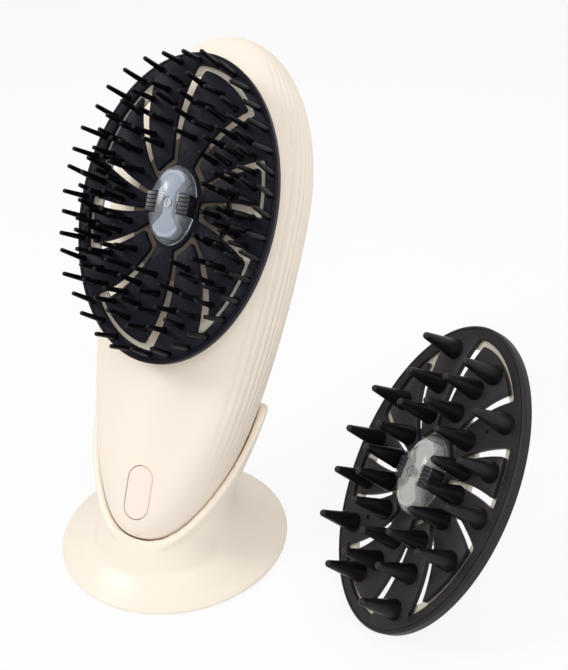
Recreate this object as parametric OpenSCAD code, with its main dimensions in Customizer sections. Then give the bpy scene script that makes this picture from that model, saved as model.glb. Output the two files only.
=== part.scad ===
// Cordless scalp massager: a paddle-shaped body with an oval brush head, standing in a flared
// cradle, and a second brush head with thick cones that lies beside it.
//
// Millimetres, +Z up. The origin is the centre of the stand's underside, on the floor.
// The massager and both heads are drawn flat, in a frame of their own: x runs across, y up the
// body, z out of the brush face, with the origin at the middle of the head's upper face.

/* [Massager body] */
// Length of the body above its widest line
upper_reach = 65; // [50:1:75]
// Length of the body below its widest line, down to the tip of the handle
lower_reach = 131; // [120:1:150]
// Height of the widest line above the middle of the head
widest_rise = 8; // [0:1:20]
// Greatest width of the body
body_width = 81.8; // [76:0.2:90]
// Greatest thickness of the body
body_depth = 35.5; // [34.5:0.5:42]
// How far the front rises under the thumb, at the button
thumb_rise = 2; // [0:0.2:4]
// Distance from the brush face down to the front of the body
face_standoff = 12; // [12:0.5:15]
// Wall of the two shells
shell_wall = 2.2; // [1.8:0.1:2.4]
// Depth of the seam between the shells, measured from the front of the body
seam_depth = 9; // [8:0.5:10]
// Number of flutes on each flank
flute_count = 7; // [4:1:8]
// Height of a flute from valley to ridge
flute_height = 0.6; // [0.3:0.05:0.9]

/* [Power button] */
// Distance from the middle of the button down to the tip of the handle
button_drop = 18.5; // [17:0.1:23]
// Width of the button
button_width = 10.2; // [8:0.1:12]
// Length of the button
button_length = 20.6; // [18:0.1:23]
// Gap all round the button
button_gap = 0.35; // [0.3:0.05:0.6]
// How far the button travels when it is pressed
button_travel = 0.8; // [0.5:0.1:1]

/* [Brush head] */
// Height of the oval plate
plate_height = 114.2; // [108:0.2:120]
// Width of the oval plate
plate_width = 76.4; // [72:0.2:80]
// Thickness of the plate
plate_thick = 2; // [1.6:0.1:2.2]
// Depth of the plate's outer edge
skirt_depth = 4; // [3.4:0.1:5]
// Wall of the outer edge
skirt_wall = 1.5; // [1.2:0.1:2]
// Width of the plate's outer band, outside the arc-shaped gaps
band_width = 4.6; // [4:0.1:5.5]
// Width of the outer arc-shaped gaps
outer_gap = 1.9; // [1.6:0.1:2.4]
// Width of the inner arc-shaped gaps
inner_gap = 2.4; // [2:0.1:3]
// Width of a curved slot at the middle of the head, before it flares
slot_width = 0.7; // [0.6:0.05:1]
// How much wider a slot gets for each millimetre away from the middle
slot_flare = 0.07; // [0.06:0.005:0.08]
// Half the swing of the driven plate, in degrees
swing = 2; // [1:0.5:2]

/* [Pins and cones] */
// Length of a fine pin above the plate
pin_length = 15.8; // [12:0.2:18]
// Diameter of a fine pin where it leaves the plate
pin_foot = 1.9; // [1.6:0.05:2.1]
// Diameter of a fine pin at its tip
pin_tip = 1.15; // [0.9:0.05:1.3]
// How far a fine pin leans from upright, in degrees
pin_lean = 2.5; // [0:0.5:3]
// Length of a cone above the plate
cone_length = 16.6; // [13:0.2:19]
// Diameter of a cone where it leaves the plate
cone_foot = 6.4; // [5:0.1:6.8]
// Diameter of a cone at its tip
cone_tip = 2.7; // [2:0.1:3.5]

/* [Centre boss] */
// Height of the oval lens cap
lens_height = 28; // [26:0.5:30]
// Width of the oval lens cap
lens_width = 15; // [14:0.5:16]
// How far the lens cap stands out of the plate
lens_rise = 4.4; // [4:0.1:5]
// Wall of the lens cap
lens_wall = 1; // [0.8:0.1:1.2]

/* [Stand] */
// Diameter of the flared base
base_diameter = 90; // [84:1:110]
// Height of the straight rim of the base
base_rim = 2.2; // [1.8:0.1:2.6]
// Height at which the flare meets the cradle
flare_height = 21; // [19:0.5:24]
// Radius of the flare where it meets the cradle
waist_radius = 26; // [24:0.5:28]
// Wall of the stand
stand_wall = 2.4; // [2:0.1:2.8]
// Gap between the handle and the cradle
cradle_gap = 0.8; // [0.6:0.1:1]
// Wall of the cradle
cradle_wall = 3.2; // [2.6:0.1:3.4]
// How far the cradle's arms reach up the handle from its tip
cradle_reach = 58; // [54:1:64]
// Lean of the massager back from upright, in degrees
lean = 34.6; // [30:0.2:38]
// Distance from the base's centre forward to the tip of the handle
tip_forward = 18.8; // [16:0.5:22]
// Height of the handle's tip above the floor
tip_height = 12.8; // [11:0.1:16]

/* [Spare head] */
// Distance of the spare head's middle to the right of the stand's centre
spare_right = 99.2; // [98:0.2:130]
// Distance of the spare head's middle behind the stand's centre
spare_back = 6.2; // [0:0.2:20]
// Turn of the spare head about the vertical, in degrees
spare_turn = -45.4; // [-60:0.2:0]
// Lean of the spare head back from upright, in degrees
spare_lean = 36.6; // [20:0.1:50]
// Spin of the spare head about its own middle, in degrees
spare_spin = 16.2; // [0:0.1:30]

/* [Hidden] */

// Colours
cream = [0.93, 0.86, 0.76];
pink_cream = [0.93, 0.80, 0.72];
ink = [0.13, 0.12, 0.16];
charcoal = [0.22, 0.21, 0.22];
frost = [0.62, 0.66, 0.72];
warm_frost = [0.78, 0.76, 0.72];
steel = [0.70, 0.71, 0.73];
brass = [0.80, 0.66, 0.35];

eps = 0.01;
$fn = 48;

// ---- Shape of the body --------------------------------------------------------------------

tip_drop = lower_reach - widest_rise;            // middle of the head down to the handle's tip
button_y = button_drop - tip_drop;               // the button lies this far up the body
half_depth = body_depth / 2;
body_mid = face_standoff + half_depth;           // brush face down to the body's middle plane
section_power = 2.05;
seam_z = -face_standoff - seam_depth;

// How far a height y lies towards the nearer end of the body, from 0 to 1
function along(y, grow) =
    let (d = y - widest_rise)
    d > 0 ? min(1, d / (upper_reach + grow)) : min(1, -d / (lower_reach + grow));

// Half the width of the body at height y
function half_width(y, grow) =
    let (u = along(y, grow))
    (body_width / 2 + grow) * (y > widest_rise ? sqrt(1 - u * u) : pow(1 - pow(u, 1.65), 1 / 2.5));

// Share of the thumb's rise that is reached at height y
function smooth(t) = let (c = max(0, min(1, t))) c * c * (3 - 2 * c);
thumb_start = button_y + 46.5;
thumb_run = 40;
function thumb_share(y) = smooth((thumb_start - y) / thumb_run);

// Depth of the body in front of its middle plane, and behind it
function front_depth(y, grow) =
    let (u = along(y, grow))
    (half_depth + thumb_rise * thumb_share(y) + grow) * (y > widest_rise ? pow(1 - pow(u, 2.6), 1 / 2.6) : sqrt(1 - pow(u, 36)));
function back_depth(y, grow) =
    let (u = along(y, grow))
    (half_depth + grow) * (y > widest_rise ? pow(1 - pow(u, 2.6), 1 / 2.6) : sqrt(1 - pow(u, 6)));

function signed_pow(v, p) = sign(v) * pow(abs(v), p);

// Share of the depth that is left at a distance x from the middle line
function across(x, y) =
    pow(1 - pow(min(1, abs(x) / half_width(y, 0)), section_power), 1 / section_power);
// Lowest height of the front face within a radius r of p, and the highest of the back
function front_over(p, r) = min([for (a = [0:45:315])
    let (x = p[0] + r * cos(a), y = p[1] + r * sin(a)) -body_mid + front_depth(y, 0) * across(x, y)]);
function back_under(p, r) = max([for (a = [0:45:315])
    let (x = p[0] + r * cos(a), y = p[1] + r * sin(a)) -body_mid - back_depth(y, 0) * across(x, y)]);

// Flutes lie on the flanks, behind the seam; each has a valley and a ridge
flute_top = (half_depth - seam_depth - 0.2) / half_depth;
flute_bottom = -0.62;
flute_steps = 2 * flute_count;
flute_angles = [for (i = [0:flute_steps])
    let (level = flute_top + (flute_bottom - flute_top) * i / flute_steps)
    asin(signed_pow(level, section_power / 2))];
front_angles = [90, 76, 62, 50, 40, 32];
back_angles = [-44, -54, -66, -78];
right_fluted = concat(front_angles, flute_angles, back_angles);
right_plain = [90, 80, 70, 60, 50, 40, 30, 20, 10, 0, -10, -20, -30, -40, -50, -60, -70, -80];

// A flute is full height beside the head and fades out towards the button and the top
flute_end = button_y + 8.5;
flute_run = 60;
flute_top_run = 12;
flute_top_end = widest_rise + upper_reach - 8;
function flute_fade(y) =
    max(0, min(1, (y - flute_end) / flute_run)) * max(0, min(1, (flute_top_end - y) / flute_top_run));
function flute_push(i, y) =
    let (k = i - len(front_angles))
    k < 0 || k > flute_steps || k % 2 == 1 ? 0 : -flute_height * flute_fade(y);

function section_point(angle, y, grow, push) =
    let (w = half_width(y, grow), f = angle > 0 ? front_depth(y, grow) : back_depth(y, grow))
    [(w + push) * signed_pow(cos(angle), 2 / section_power), y,
     -body_mid + f * signed_pow(sin(angle), 2 / section_power)];

// One ring of points round the body: down the right flank, then up the left one
function body_ring(y, grow, fluted) =
    let (a = fluted ? right_fluted : right_plain, n = len(a),
         right = [for (i = [0:n - 1]) section_point(a[i], y, grow, fluted ? flute_push(i, y) : 0)],
         last = section_point(-90, y, grow, 0))
    concat(right, [last], [for (i = [n - 1:-1:1]) [-right[i][0], right[i][1], right[i][2]]]);

// Levels lie closer together towards the blunt tip of the handle
function body_levels(grow, up, down) = concat(
    [for (j = [down - 1:-1:1])
        widest_rise - (lower_reach + grow) * sin(90 * (1 - pow(1 - j / down, 1.3)))],
    [for (j = [0:up - 1]) widest_rise + (upper_reach + grow) * sin(90 * j / up)]);

// A closed skin through the rings, with a point at each end
module skin(rings, low, high) {
    n = len(rings[0]);
    m = len(rings);
    points = concat([for (r = rings) each r], [low, high]);
    sides = [for (j = [0:m - 2]) for (i = [0:n - 1])
        let (p = j * n + i, q = j * n + (i + 1) % n)
        each [[p, p + n, q + n], [p, q + n, q]]];
    ends = [for (i = [0:n - 1]) each [
        [m * n, i, (i + 1) % n],
        [m * n + 1, (m - 1) * n + (i + 1) % n, (m - 1) * n + i]]];
    polyhedron(points, concat(sides, ends), convexity = 4);
}

module body_form(grow = 0, fluted = false, up = 9, down = 13) {
    levels = body_levels(grow, up, down);
    skin([for (y = levels) body_ring(y, grow, fluted)],
         [0, widest_rise - lower_reach - grow, -body_mid],
         [0, widest_rise + upper_reach + grow, -body_mid]);
}

module body_outside() { body_form(0, true, 11, 16); }
module body_inside() { body_form(-shell_wall, false, 8, 11); }

// ---- Where things stand -------------------------------------------------------------------

module place_massager() {
    translate([0, -tip_forward, tip_height]) rotate([90 - lean, 0, 0])
        translate([0, tip_drop, body_mid]) children();
}

// The spare head rests on the lowest point of its edge
spare_up = plate_height / 2 * cos(spare_lean) * cos(spare_spin);
spare_side = plate_width / 2 * cos(spare_lean) * sin(spare_spin);
spare_height = sqrt(spare_up * spare_up + spare_side * spare_side)
    + skirt_depth * sin(spare_lean) + 0.05;

module place_spare() {
    translate([spare_right, spare_back, spare_height]) rotate([0, 0, spare_turn])
        rotate([90 - spare_lean, 0, 0]) rotate([0, 0, spare_spin]) children();
}

// ---- Small helpers ------------------------------------------------------------------------

module between(low, high) { translate([0, 0, low]) linear_extrude(high - low) children(); }
module drum(r, low, high) { translate([0, 0, low]) cylinder(r = r, h = high - low); }
module tube(outer, inner, low, high) {
    difference() {
        drum(outer, low, high);
        drum(inner, low - 1, high + 1);
    }
}
module oval(a, b, n = 72) {
    polygon([for (i = [0:n - 1]) [a * cos(360 * i / n), b * sin(360 * i / n)]]);
}
module capsule(width, length) {
    straight = (length - width) / 2;
    hull() for (s = [-1, 1]) translate([0, s * straight]) circle(d = width, $fn = 32);
}
module screw(head_r, head_z, head_h, shank_r, end_z) {
    drum(head_r, head_z, head_z + head_h);
    drum(shank_r, end_z, head_z + eps);
}

// ---- Stand --------------------------------------------------------------------------------

pad_thick = 1;
cover_thick = 1.8;
cover_gap = 0.3;
cover_inset = 5.4;
cover_radius = base_diameter / 2 - cover_inset - cover_gap;
pad_radius = cover_radius - 2;
weight_low = pad_thick + cover_thick;
weight_thick = 4;
weight_hole = 9;
weight_radius = 29.5;
cover_screw_ring = 32.5;

base_radius = base_diameter / 2;
// The flare in steps from its rim to the cradle, as shares of its width and height
flare_steps = [[0, 0], [0.26, 0.125], [0.5, 0.28], [0.7, 0.45], [0.85, 0.64], [0.95, 0.84], [1, 1]];
function flare_point(step, inset) =
    [base_radius - (base_radius - waist_radius) * step[0] - inset,
     base_rim + (flare_height - base_rim) * step[1] - inset * 0.9];

module base_outside() {
    rotate_extrude($fn = 72) polygon(concat(
        [[0, pad_thick - 0.4], [base_radius, pad_thick - 0.4]],
        [for (i = [0:4]) flare_point(flare_steps[i], 0)], [[0, flare_point(flare_steps[4], 0)[1]]]));
}
module base_inside() {
    drum(cover_radius + cover_gap, -1, weight_low + 0.1);
    intersection() {
        rotate_extrude($fn = 72) polygon(concat(
            [[0, -1], [base_radius - stand_wall, -1]],
            [for (s = flare_steps) flare_point(s, stand_wall)], [[0, flare_height - stand_wall]]));
        drum(base_radius, weight_low, flare_height);
    }
}

// A point of the massager's frame, as it stands in the cradle
function stood(p) =
    let (y = p[1] + tip_drop, z = p[2] + body_mid)
    [p[0], y * sin(lean) - z * cos(lean) - tip_forward, y * cos(lean) + z * sin(lean) + tip_height];

// The neck turns the round flare smoothly into the cradle's own outline
neck_low = flare_point(flare_steps[4], 0)[1] - 0.3;
neck_high = flare_height + 3;
neck_from = -tip_drop + 12;
neck_to = -tip_drop + 34;
neck_rings = 8;
neck_profile = [for (s = flare_steps) let (p = flare_point(s, 0)) [p[1], p[0]]];
function neck_ring(t) =
    let (z = neck_low + (neck_high - neck_low) * t, r = lookup(z, neck_profile) - 0.04,
         skin = body_ring(neck_from + (neck_to - neck_from) * t, cradle_gap + cradle_wall - 0.04, false),
         n = len(skin), s = smooth(t))
    [for (i = [0:n - 1])
        let (a = 90 - 360 * i / n, round = [r * cos(a), -r * sin(a), z])
        round * (1 - s) + stood(skin[i]) * s];
module neck() {
    skin([for (j = [0:neck_rings]) neck_ring(j / neck_rings)], [0, 0, neck_low],
         stood([0, neck_to, -body_mid]));
}

// Side outline of what is cut away in front of the cradle and above its arms
edge_low = -18;
edge_high = -32.5;
arm_top = cradle_reach - tip_drop;
lip_y = 2 - tip_drop;
arm_round = 7;
module cradle_opening() {
    steps = 9;
    rise = arm_top - arm_round - lip_y;
    edge = [for (i = [0:steps])
        let (t = i / steps)
        [lip_y + rise * t, edge_high + (edge_low - edge_high) * pow(1 - t, 1.15)]];
    corner = [for (a = [0:15:90])
        [arm_top - arm_round + arm_round * sin(a), edge_high - arm_round * (1 - cos(a))]];
    translate([-body_width, 0, 0]) rotate([90, 0, 90]) linear_extrude(2 * body_width)
        polygon(concat([[lip_y - 40, 40], [lip_y - 40, edge_low]], edge, corner,
                       [[arm_top, -90], [upper_reach + 100, -90], [upper_reach + 100, 40]]));
}

module cradle_outside() {
    difference() {
        body_form(cradle_gap + cradle_wall, false, 2, 16);
        cradle_opening();
    }
}

module cover_screw_places() {
    for (a = [45:90:315]) rotate([0, 0, a]) translate([cover_screw_ring, 0, 0]) children();
}

module stand_shell() {
    color(cream) difference() {
        union() {
            difference() {
                base_outside();
                base_inside();
            }
            cover_screw_places() drum(2.6, weight_low, 7.2);
            intersection() {
                place_massager() cradle_outside();
                drum(base_diameter, pad_thick + cover_thick + weight_thick + 0.3, 200);
            }
            difference() {
                neck();
                place_massager() cradle_opening();
            }
        }
        place_massager() {
            body_form(cradle_gap, false, 2, 16);
            bumper_disc(0.1, 0.05);
        }
        cover_screw_places() drum(1.1, weight_low - 1, 6.2);
    }
}

module base_cover() {
    color(cream) difference() {
        drum(cover_radius, pad_thick, weight_low);
        cover_screw_places() drum(1.3, 0, weight_low + 1);
        cover_screw_places() drum(2.5, 0, pad_thick + 1);
    }
}

module base_weight() {
    color(steel) tube(weight_radius, weight_hole, weight_low, weight_low + weight_thick);
}

module foot_pad() {
    color(charcoal) drum(pad_radius, 0, pad_thick);
}

module cover_screws() {
    color(steel) cover_screw_places() {
        drum(2.3, pad_thick + 0.05, pad_thick + 0.95);
        drum(1.05, pad_thick + 0.9, 5.6);
    }
}

// A soft stud in the bottom of the cradle, which the tip of the handle rests on
bumper_radius = 4;
bumper_thick = 1.3;
module bumper_disc(grow = 0, sink = 0) {
    translate([0, -tip_drop, -body_mid]) rotate([90, 0, 0])
        drum(bumper_radius + grow, -2, cradle_gap / 2 + bumper_thick + sink);
}
module cup_bumper() {
    color(charcoal) place_massager() difference() {
        bumper_disc();
        body_form(cradle_gap / 2, false, 2, 16);
    }
}

// ---- Massager body ------------------------------------------------------------------------

high_post = [22, 38];
low_post = [15, button_y + 12.5];
post_places = [high_post, [-high_post[0], high_post[1]], low_post, [-low_post[0], low_post[1]]];
post_radius = 3.2;
// Posts begin and end inside the walls
function post_top(p, r) = front_over(p, r) - 0.4;
function post_foot(p, r) = back_under(p, r) + 0.4;
function screw_seat(p) = post_foot(p, post_radius) + 2.4;
screw_tip = seam_z + 4.6;
head_ring = 18.8;
mount_radius = 17;
mount_floor = -face_standoff - 1.4;
ring_floor = -face_standoff - 4;
battery_z = -body_mid - 4.65;
battery_radius = 9.1;
battery_top = -20;
board_top = -face_standoff - 8;
board_thick = 1.6;
board_width = 20;
board_high = battery_top - 14;
board_low = button_y - 6.5;
board_screw_x = board_width / 2 - 1.5;
board_screw_high = board_high - 6;
board_screw_low = board_low + 23;
board_places = [for (y = [board_screw_high, board_screw_low]) for (s = [1, -1]) [s * board_screw_x, y]];
battery_length = 65;
rib_half = 11;
port_z = -body_mid;
port_width = 8.9;
port_height = 3.2;
charge_board_top = port_z - port_height / 2;
port_depth = 7.3;
charge_width = 15;
charge_length = 13;
charge_low = -tip_drop + 6;
charge_pegs = [for (s = [1, -1]) [s * 5, charge_low + 10]];

module at_each(places) { for (p = places) translate(p) children(); }

module rear_shell() {
    color(cream) place_massager() difference() {
        union() {
            difference() {
                body_outside();
                body_inside();
                translate([-100, -200, seam_z]) cube([200, 400, 100]);
            }
            for (p = post_places) translate(p)
                drum(post_radius, post_foot(p, post_radius), seam_z - 0.05);
            for (p = charge_pegs) translate(p)
                drum(1.8, post_foot(p, 1.8), charge_board_top - 1.4);
            for (y = [battery_top - 12, battery_top - 54])
                let (foot = back_under([0, y], rib_half) + 0.6)
                translate([-rib_half, y - 1, foot]) cube([2 * rib_half, 2, battery_z + 2 - foot]);
        }
        for (p = post_places) translate(p) {
            drum(2.6, -face_standoff - body_depth - 10, screw_seat(p));
            drum(1.3, screw_seat(p) - 1, 0);
        }
        translate([0, battery_top + 5, battery_z]) rotate([90, 0, 0])
            cylinder(r = battery_radius + 0.05, h = battery_length + 10);
        translate([-port_width / 2 - 0.25, -tip_drop - 5, port_z - port_height / 2 - 0.25])
            cube([port_width + 0.5, 12, port_height + 0.5]);
    }
}

module front_shell() {
    color(cream) place_massager() difference() {
        union() {
            difference() {
                body_outside();
                body_inside();
                translate([-100, -200, seam_z - 100]) cube([200, 400, 100]);
            }
            drum(head_ring, ring_floor, -face_standoff - 1.8);
            for (p = post_places) translate(p)
                drum(post_radius, seam_z + 0.05, post_top(p, post_radius));
            at_each(board_places) drum(1.8, board_top, -face_standoff - 1.5);
        }
        drum(mount_radius + 0.2, mount_floor, 0);
        drum(5.6, ring_floor - 1, 0);
        mount_screw_places() drum(1.1, ring_floor - 1, 0);
        at_each(post_places) drum(1.2, seam_z - 1, screw_tip + 0.3);
        at_each(board_places) drum(0.9, board_top - 1, board_top + 2.6);
        translate([0, button_y, 0]) between(-face_standoff - 8, 0)
            capsule(button_width + 2 * button_gap, button_length + 2 * button_gap);
    }
}

mount_screw_ring = 13.6;
module mount_screw_places() {
    for (a = [90, 210, 330]) rotate([0, 0, a]) translate([mount_screw_ring, 0, 0]) children();
}

// The heads push on to this spigot; the shaft comes out of its middle
spigot_radius = 10;
spigot_top = -6;
flange_top = -face_standoff + 1;
seal_radius = 5;
seal_top = -9.3;
module head_mount() {
    color(charcoal) place_massager() difference() {
        union() {
            drum(mount_radius, mount_floor, flange_top);
            drum(spigot_radius, mount_floor, spigot_top - 0.6);
            translate([0, 0, spigot_top - 0.6])
                cylinder(r1 = spigot_radius, r2 = spigot_radius - 0.6, h = 0.6);
        }
        drum(seal_radius, mount_floor - 1, seal_top);
        drum(3, mount_floor, 0);
        mount_screw_places() drum(1.1, mount_floor - 1, 0);
        mount_screw_places() drum(2, flange_top - 1.2, 0);
    }
}

module mount_screws() {
    color(steel) place_massager() mount_screw_places()
        screw(1.85, flange_top - 1.15, 1, 1, ring_floor - 1.1);
}

module body_screws() {
    color(steel) place_massager() for (p = post_places) translate(p) {
        drum(2.4, screw_seat(p) - 1.9, screw_seat(p) - 0.05);
        drum(1.15, screw_seat(p) - 0.1, screw_tip);
    }
}

can_radius = 15;
can_top = ring_floor;
can_low = -face_standoff - body_depth + 11.4;
can_wall = 1.2;
shaft_radius = 2.5;
bearing_radius = 4.4;
magnet_radius = 9.6;
coil_inner = magnet_radius + 0.8;
shaft_play = 0.06;

module motor_can() {
    color(steel) place_massager() difference() {
        drum(can_radius, can_low, can_top);
        drum(can_radius - can_wall, can_low + can_wall, can_top - can_wall);
        drum(bearing_radius, can_low - 1, can_top + 1);
        mount_screw_places() drum(1.05, can_top - 2, can_top + 1);
    }
}
module motor_coil() {
    color([0.72, 0.42, 0.2]) place_massager()
        tube(can_radius - can_wall - 0.1, coil_inner, can_low + can_wall + 1, can_top - can_wall - 1.4);
}
module motor_bearings() {
    color(brass) place_massager() {
        tube(bearing_radius, shaft_radius + shaft_play, can_top - 2.4, can_top + 0.4);
        tube(bearing_radius, shaft_radius + shaft_play, can_low - 0.2, can_low + 2.4);
    }
}
module rotor_magnet() {
    color([0.3, 0.3, 0.33]) place_massager()
        tube(magnet_radius, shaft_radius, can_low + can_wall + 2, can_top - can_wall - 2.4);
}

// The shaft ends in a square that drives whichever head is fitted
shaft_square = 3.5;
shaft_top = -1.6;
module drive_shaft() {
    color(steel) place_massager() {
        drum(shaft_radius, can_low, -7.4);
        translate([-shaft_square / 2, -shaft_square / 2, -7.5])
            cube([shaft_square, shaft_square, shaft_top + 7.5]);
    }
}
module shaft_seal() {
    color(charcoal) place_massager()
        tube(seal_radius - 0.02, shaft_radius + shaft_play, mount_floor + 0.1, seal_top - 0.1);
}

module battery_cell() {
    color([0.25, 0.45, 0.62]) place_massager() translate([0, battery_top, battery_z])
        rotate([90, 0, 0]) {
            cylinder(r = battery_radius, h = battery_length - 1);
            translate([0, 0, -1.2]) cylinder(r = 3, h = 1.3);
            translate([0, 0, battery_length - 1.1]) cylinder(r = 7, h = 0.6);
        }
}

module control_board() {
    color([0.1, 0.4, 0.25]) place_massager() difference() {
        union() {
            translate([-board_width / 2, board_low, board_top - board_thick])
                cube([board_width, board_high - board_low, board_thick]);
            translate([-4, board_high - 36, board_top - board_thick - 1]) cube([8, 8, 1.05]);
        }
        at_each(board_places) drum(1, board_top - 5, board_top + 1);
    }
}
module board_screws() {
    color(steel) place_massager() at_each(board_places) {
        drum(1.6, board_top - board_thick - 1, board_top - board_thick - 0.02);
        drum(0.85, board_top - board_thick - 0.1, board_top + 2.4);
    }
}

// The button is a capsule with a lip behind the front shell; it presses on a small switch
button_top = -face_standoff + thumb_rise * thumb_share(button_y) - 0.05;
lip_top = button_top - 4.2;
module power_button() {
    color(pink_cream) place_massager() translate([0, button_y, 0]) {
        between(lip_top - 0.5, button_top) capsule(button_width, button_length);
        between(lip_top - 0.8, lip_top) intersection() {
            capsule(button_width + 2.4, button_length + 2.4);
            square([40, 13], center = true);
        }
    }
}
module button_switch() {
    color(ink) place_massager() translate([0, button_y, 0]) {
        translate([-1.6, -1.6, board_top + 0.02])
            cube([3.2, 3.2, lip_top - 0.8 - button_travel - 0.15 - board_top]);
    }
}

module charge_board() {
    color([0.1, 0.4, 0.25]) place_massager()
        translate([-charge_width / 2, charge_low, charge_board_top - 1.4])
            cube([charge_width, charge_length, 1.38]);
}
module charge_port() {
    color(steel) place_massager() translate([0, -tip_drop + 1.4, port_z]) {
        difference() {
            translate([-port_width / 2, 0, -port_height / 2])
                cube([port_width, port_depth, port_height]);
            translate([-port_width / 2 + 0.3, -1, -port_height / 2 + 0.3])
                cube([port_width - 0.6, 7, port_height - 0.6]);
        }
        translate([-3.4, 1, -0.35]) cube([6.8, 5.3, 0.7]);
    }
}

// ---- Brush heads --------------------------------------------------------------------------

half_height = plate_height / 2;
half_wide = plate_width / 2;
plate_low = -plate_thick;
hub_wide = lens_width / 2 + 1.9;
hub_high = lens_height / 2 + 2;
petal_wide = hub_wide + inner_gap;
petal_high = hub_high + inner_gap;
gap_wide = half_wide - band_width;
gap_high = half_height - band_width;

// Polar angles of the twelve slots at their outer and inner ends; half a turn repeats them
outer_ends = [88, 56, 30, 0, -28, -68];
function outer_end(k) = outer_ends[k % 6] - 180 * floor(k / 6);
function inner_end(k) = 100 - 30 * k;

// Angle of slot k where it crosses the oval that is a share s of the plate
function slot_angle(k, s) =
    inner_end(k) + (outer_end(k) - inner_end(k)) * pow(max(0, s - 0.3) / 0.62, 1.3);
function oval_radius(angle, a, b) =
    a * b / sqrt(pow(b * cos(angle), 2) + pow(a * sin(angle), 2));
function polar(r, angle) = [r * cos(angle), r * sin(angle)];

// A point on the edge of slot k; side is +1 or -1
function slot_edge(k, s, side) =
    let (a = slot_angle(k, s), r = s * oval_radius(a, half_wide, half_height),
         half = (slot_width + slot_flare * r) / 2)
    polar(r, a + side * asin(half / r));

// The sector between slot k and slot k + 1
slot_steps = [0.16, 0.3, 0.42, 0.54, 0.66, 0.78, 0.9, 1.06];
module sector(k) {
    n = len(slot_steps);
    polygon(concat([for (i = [0:n - 1]) slot_edge(k, slot_steps[i], -1)],
                   [for (i = [n - 1:-1:0]) slot_edge(k + 1, slot_steps[i], 1)]));
}

module hub_outline() {
    oval(hub_wide, hub_high, 60);
    intersection() {
        oval(gap_wide - outer_gap, gap_high - outer_gap);
        for (k = [0:2:10]) sector(k);
    }
}
module rim_outline() {
    difference() {
        union() {
            difference() {
                oval(half_wide, half_height);
                oval(gap_wide, gap_high);
            }
            intersection() {
                oval(gap_wide + 0.5, gap_high + 0.5);
                for (k = [1:2:11]) sector(k);
            }
        }
        oval(petal_wide, petal_high, 60);
    }
}

// A place in sector k: s is the share of the plate's oval, t the way across the sector
function sector_place(k, s, t) =
    let (a = slot_angle(k, s) * (1 - t) + slot_angle(k + 1, s) * t)
    polar(s * oval_radius(a, half_wide, half_height), a);

// Fine pins: how many each of six sectors holds on each ring, then the ring on the outer band
pin_rings = [0.79, 0.675, 0.56, 0.45];
pin_counts = [[3, 3, 2, 1], [3, 2, 2, 1], [3, 2, 2, 1], [3, 2, 2, 1], [4, 3, 2, 1], [3, 2, 2, 1]];
function sector_pins(k) = [for (j = [0:3]) let (n = pin_counts[k % 6][j])
    for (i = [1:n]) sector_place(k, pin_rings[j], (i - 0.5) / n)];
band_pins = 36;
function band_pin(i) =
    let (a = 360 * i / band_pins, b = a + 6 * sin(2 * a))
    polar(0.945 * oval_radius(b, half_wide, half_height), b);

// Each pin leans a little its own way, which follows from where it stands
module pin(p) {
    turn = 137 * p[0] + 61 * p[1];
    translate([p[0], p[1], -0.3]) rotate([pin_lean * sin(turn), pin_lean * cos(turn), 0]) {
        cylinder(d1 = pin_foot + 0.9, d2 = pin_foot, h = 1, $fn = 16);
        cylinder(d1 = pin_foot, d2 = pin_tip, h = pin_length + 0.3 - pin_tip / 2, $fn = 16);
        translate([0, 0, pin_length + 0.3 - pin_tip / 2]) sphere(d = pin_tip, $fn = 16);
    }
}

// Cones: an outer and an inner ring of twelve, and four between them near the long ends
function end_share(a) =
    (oval_radius(a, gap_wide - outer_gap, gap_high - outer_gap) - cone_foot / 2 - 0.3)
    / oval_radius(a, half_wide, half_height);
function outer_share(k) =
    k % 2 == 1 ? 0.82 : min(0.82, end_share(0.58 * slot_angle(k, 0.8) + 0.42 * slot_angle(k + 1, 0.8)));
function cone_places(k) = concat(
    [sector_place(k, outer_share(k), 0.42), sector_place(k, 0.44, 0.5)],
    k % 6 == 0 || k % 6 == 5 ? [sector_place(k, 0.64, 0.45)] : []);
module cone(p) {
    blunt = cone_tip / 2;
    translate([p[0], p[1], -0.3]) {
        cylinder(d1 = cone_foot, d2 = cone_tip, h = cone_length + 0.3 - blunt, $fn = 24);
        translate([0, 0, cone_length + 0.3 - blunt]) sphere(d = cone_tip, $fn = 24);
    }
}

carrier_top = plate_low - 1.5;
carrier_low = carrier_top - 2;
collar_gap = 0.3;
bush_radius = 3.2;
bush_flange = 4.6;
bush_recess = 1;
pad_share = 0.415;

module carrier_pad_places() {
    for (k = [1:2:11]) translate(sector_place(k, pad_share, 0.5)) children();
}

module rim_plate(tint) {
    color(tint) difference() {
        union() {
            between(plate_low, 0) rim_outline();
            between(-skirt_depth, 0) difference() {
                oval(half_wide, half_height);
                oval(half_wide - skirt_wall, half_height - skirt_wall);
            }
            children();
        }
        between(-0.3, 1) difference() {
            oval(half_wide - 1.1, half_height - 1.1);
            oval(half_wide - 1.5, half_height - 1.5);
        }
        carrier_pad_places() drum(0.8, plate_low - 1, plate_low + 1.4);
    }
}
module hub_plate(tint) {
    color(tint) difference() {
        union() {
            between(plate_low, 0) hub_outline();
            children();
        }
        drum(bush_radius, plate_low - 1, 1);
    }
}

// Flush round marks left by the mould
module mould_mark(p) {
    translate([p[0], p[1], 0]) tube(1.6, 1.3, -0.2, 1);
}

// Sits under the outer band and shows through the outer gaps
module ledge_ring() {
    color(cream) {
        between(-skirt_depth + 0.3, plate_low) difference() {
            oval(half_wide - skirt_wall - 0.1, half_height - skirt_wall - 0.1);
            oval(gap_wide + 0.2, gap_high + 0.2);
        }
        between(-skirt_depth + 0.3, plate_low - 0.5) difference() {
            oval(gap_wide + 0.4, gap_high + 0.4);
            oval(gap_wide - outer_gap - 1.6, gap_high - outer_gap - 1.6);
        }
    }
}

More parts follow.
